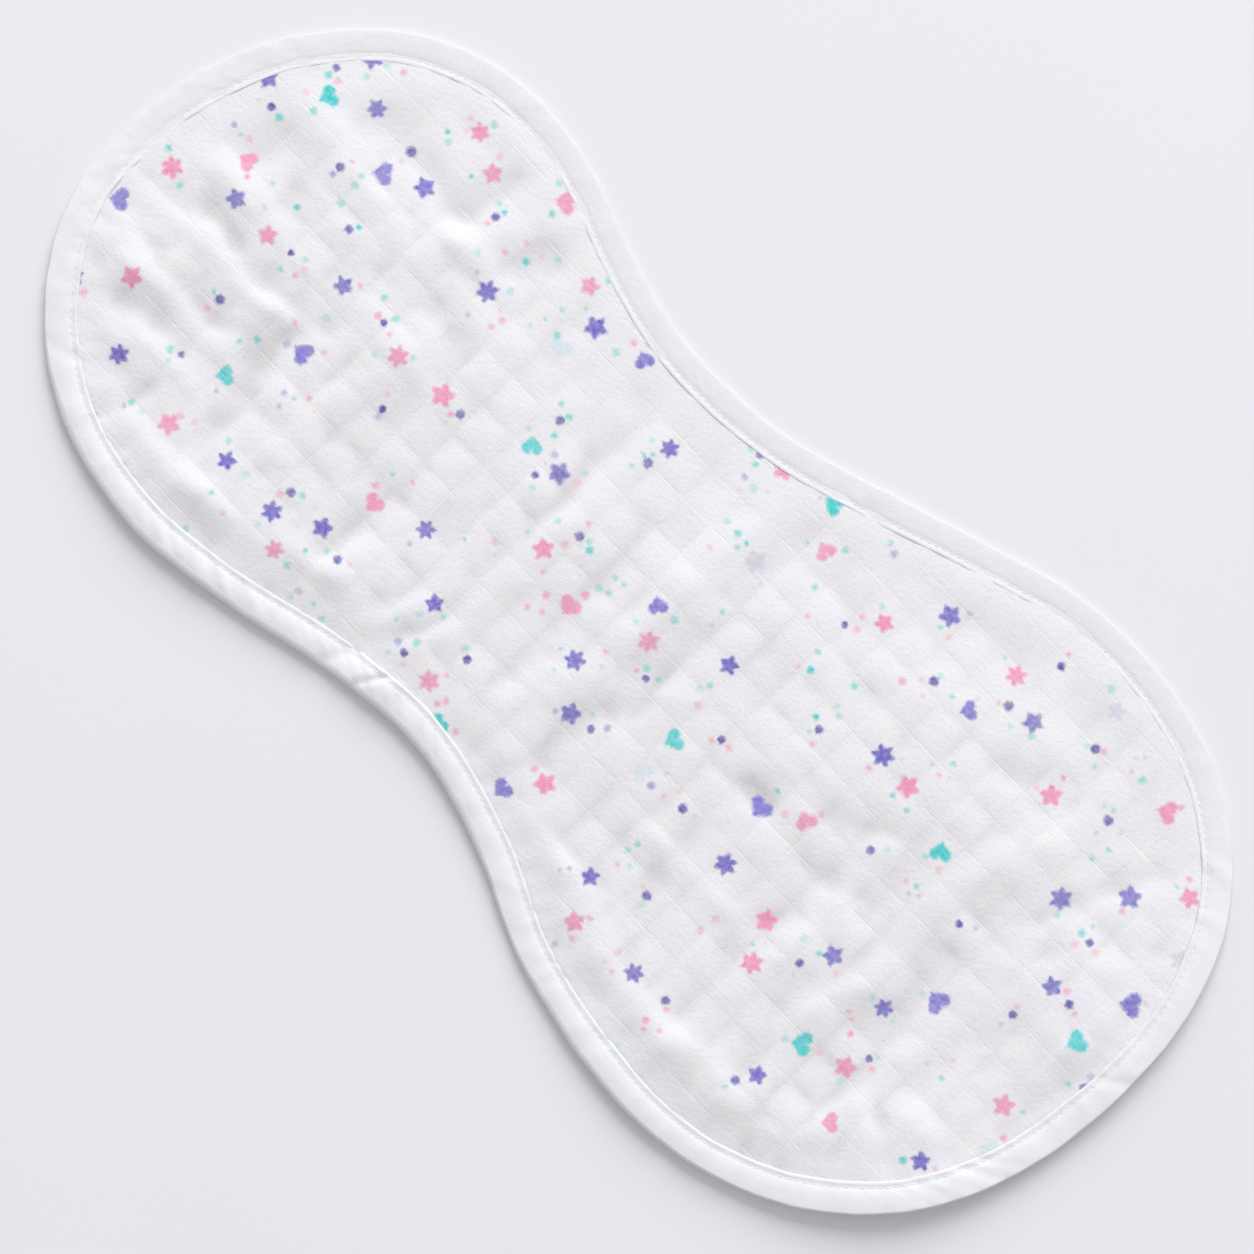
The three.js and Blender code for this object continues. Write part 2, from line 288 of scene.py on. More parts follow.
class Edge:
    """The outer edge with its direction, inward normal, distance along it and the width of its strip.

    flatness is 1 where the border lies pressed flat, and crispness is high where the strip's outer fold
    is sharp."""

    def __init__(self):
        self.points = smooth_ring(edge_from_solid(), EDGE_STEPS)
        self.count = len(self.points)
        along = np.roll(self.points, -1, axis=0) - np.roll(self.points, 1, axis=0)
        self.along = along / np.linalg.norm(along, axis=1, keepdims=True)
        self.inward = np.stack([-self.along[:, 1], self.along[:, 0]], axis=1)
        steps = np.linalg.norm(np.roll(self.points, -1, axis=0) - self.points, axis=1)
        self.distance = np.concatenate([[0], np.cumsum(steps)[:-1]])
        self.length = float(steps.sum())
        wander = self.noises(self.distance, (0.7, 55, 31.2), (0.3, 21, 36.5))
        self.width = STRIP_WIDTH + STRIP_WIDTH_CHANGE * self.inward[:, 1] + wander
        self.flatness = smooth_share(-(self.inward @ np.array(FLATTEST_SIDE)), -0.1, 0.7)
        self.crispness = 0.75 * smooth_share(self.points[:, 0], 60, 215)
        self.tree = kdtree.KDTree(self.count)
        for i, (x, y) in enumerate(self.points):
            self.tree.insert((x, y, 0), i)
        self.tree.balance()

    def nearest(self, x, y):
        return self.tree.find((x, y, 0))[1]

    def inset(self, x, y):
        """How far a point lies inwards from the edge."""
        near = self.nearest(x, y)
        return float(np.dot((x, y) - self.points[near], self.inward[near]))

    def inside(self, x, y):
        """How far points lie inwards from the edge and along it, with their nearest edge points."""
        near = np.array([self.nearest(u, v) for u, v in zip(np.ravel(x), np.ravel(y))])
        offset = np.stack([np.ravel(x), np.ravel(y)], axis=1) - self.points[near]
        inwards = np.sum(offset * self.inward[near], axis=1)
        onwards = self.distance[near] + np.sum(offset * self.along[near], axis=1)
        return inwards.reshape(np.shape(x)), onwards.reshape(np.shape(x)), near.reshape(np.shape(x))

    def read(self, onwards, values):
        """What values, one for each edge point, come to at distances along the edge."""
        return np.interp(onwards, self.distance, values, period=self.length)

    def ring_noise(self, onwards, lump, layer):
        """Noise along the edge that joins up with itself, with lumps about lump long."""
        radius = self.length / TAU / lump
        turn = np.asarray(onwards) / self.length * TAU
        return field(radius * np.cos(turn), radius * np.sin(turn), 1, 1, layer)

    def noises(self, onwards, *layers):
        """The sum of layers of ring_noise, each with its height, lump and layer."""
        return sum(height * self.ring_noise(onwards, lump, layer) for height, lump, layer in layers)


edge = Edge()


# The surfaces of the cloth


def narrow_lobe(x):
    """1 in the narrow lobe and 0 from the waist on."""
    return smooth_share(-x, 80, 150)


def folds_at(x, y):
    strength = FOLD_STRENGTH + (NARROW_LOBE_STRENGTH - FOLD_STRENGTH) * narrow_lobe(x)
    x, y = x + FOLD_WANDER * field(x, y, 34, 30, 21.4), y + FOLD_WANDER * field(x, y, 32, 34, 27.9)
    height = np.zeros_like(x)
    for fold in FOLDS:
        along, across = turned(x - fold.x, y - fold.y, math.radians(fold.turn))
        height += fold.rise * np.exp(-(2 * along / fold.length) ** 2 - (2 * across / fold.width) ** 2)
    return strength * height * (1 + FOLD_PATCHINESS * field(x, y, 20, 20, 33.2))


def square_noise(u, v):
    """One value from -1 to 1 for each square between the tie lines."""
    return field(np.floor(u / TIE_PITCH), np.floor(v / TIE_PITCH), 0.83, 0.79, 5.3)


def crinkles_at(x, y, u, v):
    """The small unevenness: lumps, wrinkles both ways, a puff in each tied square, and fine crumple."""
    narrow = narrow_lobe(x)
    lumps = (1.1 + 0.25 * narrow) * field(x, y, 52, 46, 5.3)
    along = (0.17 + 0.35 * narrow) * field(x, y, 28, 10.5, 1.7)
    across = (0.36 - 0.1 * narrow) * field(x, y, 10.5, 28, 8.2)
    window = 0.4 + 0.6 * np.abs(np.sin(u / TIE_PITCH * math.pi)) ** 0.8
    window = window * np.abs(np.sin(v / TIE_PITCH * math.pi)) ** 0.75
    puff = (0.38 + 1.2 * square_noise(u, v)) * window
    crumple = 0.09 * field(x, y, 7, 6, 4.9) + 0.055 * field(x, y, 4.4, 5, 2.6)
    crumple += 0.035 * field(x, y, 3, 3, 6.1)
    return lumps + along + across + PUFF_HEIGHT * puff + crumple * (0.85 + 0.5 * narrow)


def off_along(onwards, spot):
    """How far along the edge places lie from the one nearest a table's row."""
    off = onwards - edge.distance[edge.nearest(spot.x, spot.y)]
    return (off + edge.length / 2) % edge.length - edge.length / 2


def near_along(onwards, stretch):
    """1 at the middle of a stretch of the edge, falling away softly over its reach."""
    return np.exp(-(off_along(onwards, stretch) / stretch.reach) ** 2)


def edge_curl(onwards):
    """How far the very edge curls up off the table."""
    return sum(lift.rise * near_along(onwards, lift) for lift in EDGE_LIFTS)


def edge_lift(onwards, inwards):
    """The border's curl, most at the edge itself and none a little way in."""
    return edge_curl(onwards) * (1 - smooth_share(inwards, 0, EDGE_LIFT_REACH))


def border_thickness(inwards, near):
    """The share of its full thickness that the cloth has, less along the side that lies flattest."""
    thinning = BORDER_THINNING * edge.flatness[near]
    return 1 - thinning * (1 - smooth_share(inwards, THINNED_FROM, THINNED_TO))


def border_puffs(onwards, inwards):
    height = np.zeros_like(onwards)
    for puff in BORDER_PUFFS:
        along = off_along(onwards, puff) / puff.reach
        height += puff.rise * np.exp(-along ** 2 - ((inwards - puff.inset) / puff.width) ** 2)
    return height * (1 + 1.1 * edge.ring_noise(onwards, 17, 15.1))


def seam_dip(onwards):
    return sum(dip.dip * near_along(onwards, dip) for dip in SEAM_DIPS)


def tie_dip(place, line):
    """How deep the surface dips at a distance from the tie lines, which lie TIE_PITCH apart."""
    off_line = np.abs((place / TIE_PITCH + 0.5) % 1 - 0.5) * TIE_PITCH
    crease = line["crease"] * np.exp(-(off_line / line["crease_width"]) ** 2)
    return crease + line["hollow"] * np.cos(off_line / TIE_PITCH * math.pi) ** 2


def cloth_place(x, y):
    """Where a point lies in the weave, whose threads wander a little from straight lines."""
    return x + 1.1 * field(x, y, 70, 50, 3.1), y + 1.2 * field(x, y, 80, 55, 8.7)


def panel_top(x, y, inwards, onwards, near):
    u, v = cloth_place(x, y)
    width = edge.width[near]
    swell_reach = PANEL_SWELL_REACH - PANEL_SWELL_CHANGE * edge.inward[near, 1]
    swell = smooth_share(inwards, width, width + swell_reach)
    dip = np.maximum(tie_dip(v, TIE_ALONG), tie_dip(u, TIE_ACROSS))
    rise = folds_at(x, y) + crinkles_at(x, y, u, v) - dip
    from_seam = np.maximum(inwards - width, 0)
    puckers = edge.noises(onwards, (0.4, 5.5, 2.3), (0.3, 11, 7.9)) * np.exp(-from_seam / 7)
    gathers = 0.7 * edge.ring_noise(onwards, 7.5, 10.6) * np.exp(-from_seam / 16)
    gathers *= smooth_share(edge.ring_noise(onwards, 70, 21.7), -0.1, 0.4)
    relief = smooth_share(inwards, width, width + RELIEF_REACH)
    height = PANEL_EDGE_HEIGHT + swell * (PANEL_HEIGHT - PANEL_EDGE_HEIGHT) + relief * rise
    height += puckers + gathers + border_puffs(onwards, inwards)
    height -= seam_dip(onwards) * np.exp(-(from_seam / 2.5) ** 2)
    height = PANEL_LOWEST + np.logaddexp(0, 3 * (height - PANEL_LOWEST)) / 3
    return TONGUE_TOP + (height - TONGUE_TOP) * smooth_share(inwards, width - 3.4, width + 0.15)


def panel_underside(x, y, inwards, width):
    u, v = cloth_place(x, y)
    dip = np.maximum(tie_dip(v, TIE_ALONG), tie_dip(u, TIE_ACROSS))
    lift = 0.02 + 0.55 * dip + 0.12 * (1 + field(x, y, 20, 8, 9.7))
    lift += 0.2 * np.maximum(-folds_at(x, y), 0)
    lift = np.minimum(lift, TONGUE_FLOOR)
    return TONGUE_FLOOR + (lift - TONGUE_FLOOR) * smooth_share(inwards, width - 0.5, width + 3.5)


def blurred(values, mask, reach):
    """A grid's mean over a square around each point, counting only points in the mask."""
    kernel = np.ones(2 * reach + 1)

    def spread(grid):
        for axis in (0, 1):
            grid = np.apply_along_axis(np.convolve, axis, grid, kernel, "same")
        return grid

    return spread(values * mask) / np.maximum(spread(mask.astype(float)), 1)


# Motifs


Motif = namedtuple("Motif", "x y kind ink size turn strength")


def scatter_motifs(chance):
    """Motifs scattered over the panel, each group in turn, like ones well apart."""
    motifs = []
    for group in PRINT:
        fellows = []
        apart = group.apart
        while len(fellows) < group.count:
            x, y = chance.uniform(-254, 254), chance.uniform(-127, 127)
            kind = KINDS[group.kind]
            crowded = any(math.dist((x, y), other[:2]) < kind.gap for other in motifs)
            alike = any(math.dist((x, y), other[:2]) < apart for other in fellows)
            if edge.inset(x, y) < MOTIF_INSET or crowded or alike:
                apart *= 0.9995
                continue
            turn = chance.uniform(0, TAU)
            if group.kind == "heart":
                turn = chance.gauss(0, 0.9) - math.radians(46)
            size = group.size * chance.uniform(kind.smallest, kind.largest)
            strength = chance.uniform(*MOTIF_STRENGTHS)
            fellows.append(Motif(x, y, group.kind, group.ink, size, turn, strength))
            motifs.append(fellows[-1])
    return motifs


def scatter_sprinkles(chance, motifs):
    """Small dots around the motifs and in loose groups between them."""
    groups = [(motif.x, motif.y, KINDS[motif.kind].sprinkles) for motif in motifs]
    centres = []
    while len(centres) < LOOSE_GROUPS:
        x, y = chance.uniform(-250, 250), chance.uniform(-125, 125)
        inside = edge.inset(x, y) > LOOSE_GROUP_INSET
        if inside and all(math.dist((x, y), c) > LOOSE_GROUP_GAP for c in centres):
            centres.append((x, y))
            groups.append((x, y, LOOSE_GROUP))

    dots = []
    for x, y, (fewest, most, nearest, farthest) in groups:
        for _ in range(chance.randint(fewest, most)):
            away = chance.uniform(nearest, farthest)
            turn = chance.uniform(0, TAU)
            place = (x + away * math.cos(turn), y + away * math.sin(turn))
            gaps = [math.dist(place, dot[:2]) - SPRINKLE_GAP for dot in dots]
            gaps += [math.dist(place, m[:2]) - KINDS[m.kind].dot_gap for m in motifs]
            if min(gaps) > 0:
                radius = chance.choice(SPRINKLE_RADII)
                ink = chance.choice(SPRINKLE_INKS)
                dots.append(Motif(*place, "dot", ink, radius, 0.0, chance.uniform(0.4, 1)))
    return dots


# Meshes


def placed(name, data):
    """A new object in the scene."""
    item = bpy.data.objects.new(name, data)
    bpy.context.scene.collection.objects.link(item)
    return item


def make_piece(name, points, faces, body="root"):
    """A mesh of millimetre points, in metres, that rides on the body."""
    mesh = bpy.data.meshes.new(name)
    mesh.from_pydata((np.asarray(points) * MM).tolist(), [], faces)
    mesh.shade_smooth()
    piece = placed(name, mesh)
    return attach(piece, body)


def add_attribute(mesh, name, kind, domain, values):
    part = {"FLOAT": "value", "FLOAT_VECTOR": "vector", "FLOAT_COLOR": "color"}[kind]
    mesh.attributes.new(name, kind, domain).data.foreach_set(part, np.ravel(values))


def add_uv(mesh, name, points_uv):
    """A UV map from one millimetre place a vertex, in metres."""
    corner_vertex = np.empty(len(mesh.loops), dtype=np.int32)
    mesh.loops.foreach_get("vertex_index", corner_vertex)
    layer = mesh.uv_layers.new(name=name)
    layer.data.foreach_set("uv", np.ravel(points_uv[corner_vertex] * MM))


def print_onto(mesh, corners, motifs, layer, plain):
    """Gives each face's corners their place in the motif that covers the face, and that motif's ink.

    corners has four points a printed face, and the faces after those stay plain."""
    faces = len(corners)
    centres = corners.mean(axis=1)
    place = np.full((faces + plain, 4, 3), FAR_OFF)
    ink = np.zeros((faces + plain, 4, 4))
    nearest = np.full(faces, np.inf)
    stamped = layer == "motif"
    for motif in motifs:
        reach = (MOTIF_REACH * motif.size if stamped else motif.size + 0.7) + 0.75 * PANEL_STEP
        away = np.hypot(centres[:, 0] - motif.x, centres[:, 1] - motif.y)
        covered = np.nonzero((away < reach) & (away < nearest))[0]
        nearest[covered] = away[covered]
        x, y = corners[covered, :, 0] - motif.x, corners[covered, :, 1] - motif.y
        scale = motif.size if stamped else 1
        u, v = turned(x, y, motif.turn)
        place[covered, :, 0], place[covered, :, 1] = u / scale, v / scale
        place[covered, :, 2] = KINDS[motif.kind].code if stamped else motif.size
        *colour, cover = INKS[motif.ink]
        ink[covered] = (*linear(*colour), cover * motif.strength)
    add_attribute(mesh, layer + "_place", "FLOAT_VECTOR", "CORNER", place)
    add_attribute(mesh, layer + "_ink", "FLOAT_COLOR", "CORNER", ink)


def muslin_panel():
    along = np.arange(-STEPS_TO_END, STEPS_TO_END + 1) * PANEL_STEP
    across = np.arange(-STEPS_TO_SIDE, STEPS_TO_SIDE + 1) * PANEL_STEP
    x, y = np.meshgrid(along, across)
    inwards, onwards, near = edge.inside(x, y)
    held = inwards > PANEL_RIM - 0.5 * PANEL_STEP
    kept = held[:-1, :-1] & held[:-1, 1:] & held[1:, 1:] & held[1:, :-1]

    cells_around = np.zeros(x.shape, dtype=int)
    for rows in (slice(None, -1), slice(1, None)):
        for columns in (slice(None, -1), slice(1, None)):
            cells_around[rows, columns] += kept
    used = cells_around > 0
    on_rim = used & (cells_around < 4)
    onto_rim = (PANEL_RIM - inwards)[on_rim][:, None] * edge.inward[near[on_rim]]
    x[on_rim] += onto_rim[:, 0]
    y[on_rim] += onto_rim[:, 1]
    inwards[on_rim] = PANEL_RIM

    width = edge.width[near]
    top = panel_top(x, y, inwards, onwards, near)
    underside = panel_underside(x, y, inwards, width)
    lift = edge_lift(onwards, inwards)
    thickness = border_thickness(inwards, near)
    top, underside = top * thickness + lift, underside * thickness + lift
    count = int(used.sum())
    number = np.full(x.shape, -1)
    number[used] = np.arange(count)

    corner_numbers = number[:-1, :-1], number[:-1, 1:], number[1:, 1:], number[1:, :-1]
    quads = np.stack(corner_numbers, axis=-1)[kept]
    framed = np.pad(kept, 1)
    rows, columns = kept.shape
    sides = []
    for row, column, first, second in ((0, 1, 0, 1), (1, 2, 1, 2), (2, 1, 2, 3), (1, 0, 3, 0)):
        lone = ~framed[row:row + rows, column:column + columns][kept]
        start, end = quads[lone][:, first], quads[lone][:, second]
        sides.append(np.stack([end, start, start + count, end + count], axis=-1))
    faces = np.concatenate([quads, quads[:, ::-1] + count] + sides)

    plan = np.stack([x[used], y[used]], axis=1)
    points = np.concatenate([
        np.column_stack([plan, top[used]]),
        np.column_stack([plan, underside[used]]),
    ])
    panel = make_piece("muslin", points, faces.tolist())

    u, v = cloth_place(x, y)
    weave = np.stack([u[used], v[used]], axis=1)
    add_uv(panel.data, "weave", np.concatenate([weave, weave]))
    # Painted shade: the hollow attribute is high where the top lies below the cloth around it, and the
    # finish greys and warms the cloth there. A random tone for each tied square goes into the same
    # attribute.
    hollow = 0.7 * np.clip((blurred(top, used, 4) - top) / 0.5, 0, 1)
    hollow += 0.4 * np.clip((blurred(top, used, 9) - top) / 1.1, 0, 1)
    hollow += 0.17 * np.clip(-square_noise(u, v), 0, 1)
    shade = np.concatenate([hollow[used], np.zeros(count)])
    add_attribute(panel.data, "hollow", "FLOAT", "POINT", shade)

    chance = random.Random(PRINT_SEED)
    motifs = scatter_motifs(chance)
    dots = scatter_sprinkles(chance, motifs)
    corners = plan[quads]
    plain = len(faces) - len(quads)
    print_onto(panel.data, corners, motifs, "motif", plain)
    print_onto(panel.data, corners, dots[0::2], "sprinkle_a", plain)
    print_onto(panel.data, corners, dots[1::2], "sprinkle_b", plain)
    return panel


# The bias strip


def strip_creases(onwards, share):
    """The height of the strip's creases. share goes from 0 at the outer edge to 1 at the inner fold."""
    height = np.zeros_like(onwards)
    for crease in STRIP_CREASES:
        off = off_along(onwards - crease.lean * (share - 0.5), crease)
        height += crease.rise * np.exp(-(off / crease.width) ** 2)
        if crease is STRIP_JOIN:
            height += JOIN_BULK * np.exp(-(off / JOIN_REACH) ** 2)
    return height


def strip_top(onwards, inset, width):
    """The height of the strip's top at a distance from its outer edge."""
    share = inset / width
    flatness = edge.read(onwards, edge.flatness)
    crown_inset = STRIP_CROWN_INSET + (FLAT_SIDE_CROWN_INSET - STRIP_CROWN_INSET) * flatness
    outer_fall = STRIP_OUTER_FALL + CURLED_OUTER_FALL * np.clip(edge_curl(onwards), 0, 1.3)
    outer_fall = outer_fall * (1 - edge.read(onwards, edge.crispness)) + FLAT_SIDE_OUTER_FALL * flatness
    inward_of_crown = np.maximum(np.minimum(inset, width - STITCH_INSET) - crown_inset, 0)
    outward_of_crown = np.maximum(crown_inset - inset, 0)
    fall = STRIP_FALL * (1 + 0.5 * edge.ring_noise(onwards, 60, 14.2)) * inward_of_crown ** 1.6
    crown = STRIP_HEIGHT + 0.25 - fall - outer_fall * outward_of_crown ** 2
    near_stitches = smooth_share(share, 0.25, 0.85)
    puckers = near_stitches * edge.noises(onwards, (0.2, 4.6, 1.9), (0.12, 2.6, 4.4))
    lumps = 0.36 * edge.ring_noise(onwards + 7 * share, 17, 6.6)
    lumps += 0.12 * edge.ring_noise(onwards, 41, 9.1)
    lumps += 0.28 * edge.ring_noise(onwards - 5 * share, 8, 18.7)
    wrinkled = smooth_share(edge.ring_noise(onwards, 50, 26.3), -0.15, 0.3)
    lumps += 0.46 * wrinkled * edge.ring_noise(onwards + 17 * share, 5.5, 24.4)
    return crown + puckers + lumps + 1.2 * strip_creases(onwards, share)


def seam_ridge(inset, width):
    """The groove that the stitches pull into the strip, and the bead that the fold makes beside it."""
    groove = STITCH_GROOVE * np.exp(-((width - STITCH_INSET - inset) / STITCH_GROOVE_WIDTH) ** 2)
    bead = FOLD_BEAD * np.exp(-((width - FOLD_BEAD_INSET - inset) / FOLD_BEAD_WIDTH) ** 2)
    return bead - groove


def strip_stations(width, roll_radius):
    """The strip's section from the slot's mouth below, round the outer roll, to the slot's roof.

    Each station has an inset, a height and its kind. On the roll and the inner fold the height is a
    share for now, and on top it is left open. edge_binding sets them."""
    def fold_inset(angle):
        return width - FOLD_RADIUS + FOLD_RADIUS * math.cos(angle)

    stations = []
    for angle in np.radians([60, 15, -30, -75]):
        stations.append((fold_inset(angle), 0.46 + 0.44 * math.sin(angle), "plain"))
    for back, height in STRIP_UNDERSIDE:
        stations.append((width - back, height, "plain"))
    for angle in np.radians(np.linspace(-90, 78, 13)):
        stations.append((roll_radius * (1 - math.cos(angle)), math.sin(angle), "roll"))
    first = roll_radius + 0.08
    for share in (0, 0.14, 0.5):
        stations.append((first + share * (width - TOP_ROWS_BACK[0] - first), 0, "top"))
    for back in TOP_ROWS_BACK:
        stations.append((width - back, 0, "top"))
    for angle in np.radians([45, 0, -50]):
        stations.append((fold_inset(angle), math.sin(angle), "fold"))
    slot = width - 1.0, width / 2, SLOT_DEPTH
    for inset, height in zip(slot, (MOUTH_ROOF, SLOT_ROOF, SLOT_ROOF)):
        stations.append((inset, height, "plain"))
    for inset in reversed(slot):
        stations.append((inset, SLOT_FLOOR, "plain"))
    return stations


def edge_binding():
    curled = np.clip(edge_curl(edge.distance), 0, 1)
    roll_radius = ROLL_RADIUS + (CURLED_ROLL_RADIUS - ROLL_RADIUS) * curled * (1 - edge.crispness)
    sections = [strip_stations(width, radius) for width, radius in zip(edge.width, roll_radius)]
    insets = np.array([[inset for inset, _, _ in stations] for stations in sections])
    heights = np.array([[height for _, height, _ in stations] for stations in sections])
    kinds = np.array([kind for _, _, kind in sections[0]])
    on_top, on_roll, on_fold = kinds == "top", kinds == "roll", kinds == "fold"
    width = edge.width[:, None]
    onwards = np.repeat(edge.distance[:, None], insets.shape[1], axis=1)

    top = strip_top(onwards, insets, width)
    heights[:, on_top] = top[:, on_top]
    roll_top = strip_top(onwards[:, :1], roll_radius[:, None], width)
    heights[:, on_roll] = roll_top * (0.5 + 0.5 * heights[:, on_roll])
    fold_top = top[:, on_top][:, -1:]
    fold_height = np.maximum(fold_top - MOUTH_ROOF, 0.3) / 2
    heights[:, on_fold] = fold_top - fold_height * (1 - heights[:, on_fold])

    ridge = seam_ridge(insets, width) * on_top
    ridge[:, on_fold] = ridge[:, on_top][:, -1:]

    outer = 1 - smooth_share(insets, 0, 6)
    wobble = edge.noises(edge.distance, (0.28, 14, 3.3), (0.16, 6, 5.7), (0.5, 45, 40.9))
    inner = smooth_share(insets, width - 2.5, width) * (heights > 0.5 * SLOT_ROOF)
    fold_wander = 0.22 * edge.ring_noise(edge.distance, 9, 12.3)
    insets = insets + outer * wobble[:, None] + inner * fold_wander[:, None]
    plan = edge.points[:, None, :] + edge.inward[:, None, :] * insets[:, :, None]
    heights = heights * border_thickness(insets, np.arange(edge.count)[:, None])
    heights += edge_lift(onwards, insets) + ridge
    points = np.concatenate([plan, heights[:, :, None]], axis=2)

    count, around = insets.shape
    index = np.arange(count * around).reshape(count, around)
    a, b = index, np.roll(index, -1, axis=1)
    c, d = np.roll(a, -1, axis=0), np.roll(b, -1, axis=0)
    faces = np.stack([a, b, d, c], axis=-1).reshape(-1, 4)
    strip = make_piece("bias_binding", points.reshape(-1, 3), faces[:, ::-1].tolist())
    girth = np.concatenate([[0], np.cumsum(np.hypot(np.diff(insets[0]), np.diff(heights[0])))])
    lay_strip_uv(strip.data, index, girth)
    # Painted shade: the finish greys the strip where the rim attribute marks its outer roll.
    add_attribute(strip.data, "rim", "FLOAT", "POINT", np.tile(on_roll.astype(float), count))
    return strip


def lay_strip_uv(mesh, index, girth):
    """The UV map runs along the strip and across it, in metres, and goes on round at each seam."""
    count, around = index.shape
    onwards = np.append(edge.distance, edge.length)
    girths = np.append(girth, girth[-1] + 2.0)
    i, k = np.meshgrid(np.arange(count), np.arange(around), indexing="ij")
    corner = [(1, 0), (1, 1), (0, 1), (0, 0)]
    uv = np.stack([np.stack([onwards[i + di], girths[k + dk]], axis=-1) for di, dk in corner], axis=2)
    layer = mesh.uv_layers.new(name="weave")
    layer.data.foreach_set("uv", np.ravel(uv * MM))


def seam_stitches():
    """Straight stitches through both legs of the strip, as short bent threads above and below."""
    line = edge.points + edge.inward * (edge.width - STITCH_INSET)[:, None]
    steps = np.linalg.norm(np.roll(line, -1, axis=0) - line, axis=1)
    reached = np.concatenate([[0], np.cumsum(steps)])
    count = round(reached[-1] / STITCH_PITCH)
    ring = np.linspace(0, edge.count, edge.count + 1)
    points, faces, uvs = [], [], []

    def at(distance):
        """A point of the stitch line, with the inward normal there and its place along the edge."""
        place = np.interp(distance % reached[-1], reached, ring)
        low = int(place) % edge.count
        high = (low + 1) % edge.count
        share = place - int(place)
        spot = line[low] * (1 - share) + line[high] * share
        normal = edge.inward[low] * (1 - share) + edge.inward[high] * share
        onwards = edge.distance[low] + share * (edge.length / edge.count)
        return spot, normal, onwards, low

    for above in (True, False):
        for k in range(count):
            middle = (k + (0.5 if above else 0.0)) * reached[-1] / count
            first = len(points)
            for share, down in zip(THREAD_SHARES, THREAD_SINK):
                spot, normal, onwards, near = at(middle + share * STITCH_LENGTH / 2)
                onwards, width = np.array([onwards]), edge.width[[near]]
                inset = width - STITCH_INSET
                top = strip_top(onwards, inset, width) * border_thickness(inset, [near])
                top += seam_ridge(inset, width)
                level = top - 0.01 - down if above else 0.22 + down * 0.4
                level = float((level + edge_lift(onwards, inset))[0])
                slim = 0.55 if abs(share) == 1 else 1.0
                for turn in np.arange(THREAD_SIDES) / THREAD_SIDES * TAU:
                    out = THREAD_RADIUS * slim * math.cos(turn)
                    up = THREAD_RADIUS * slim * math.sin(turn)
                    points.append((*(spot + normal * out), level + up))
                    uvs.append((share * STITCH_LENGTH / 2 + 10, turn * THREAD_RADIUS))
            for ring_number in range(len(THREAD_SHARES) - 1):
                low = first + ring_number * THREAD_SIDES
                high = low + THREAD_SIDES
                for side in range(THREAD_SIDES):
                    after = (side + 1) % THREAD_SIDES
                    faces.append((low + side, high + side, high + after, low + after))
            last = first + (len(THREAD_SHARES) - 1) * THREAD_SIDES
            faces.append(tuple(range(first, first + THREAD_SIDES)))
            faces.append(tuple(reversed(range(last, last + THREAD_SIDES))))
    stitches = make_piece("seam_stitches", points, [face[::-1] for face in faces])
    add_uv(stitches.data, "thread", np.array(uvs))
    return stitches


# Finishes


MUSLIN_THREAD = 0.62
COTTON_THREAD = 0.36


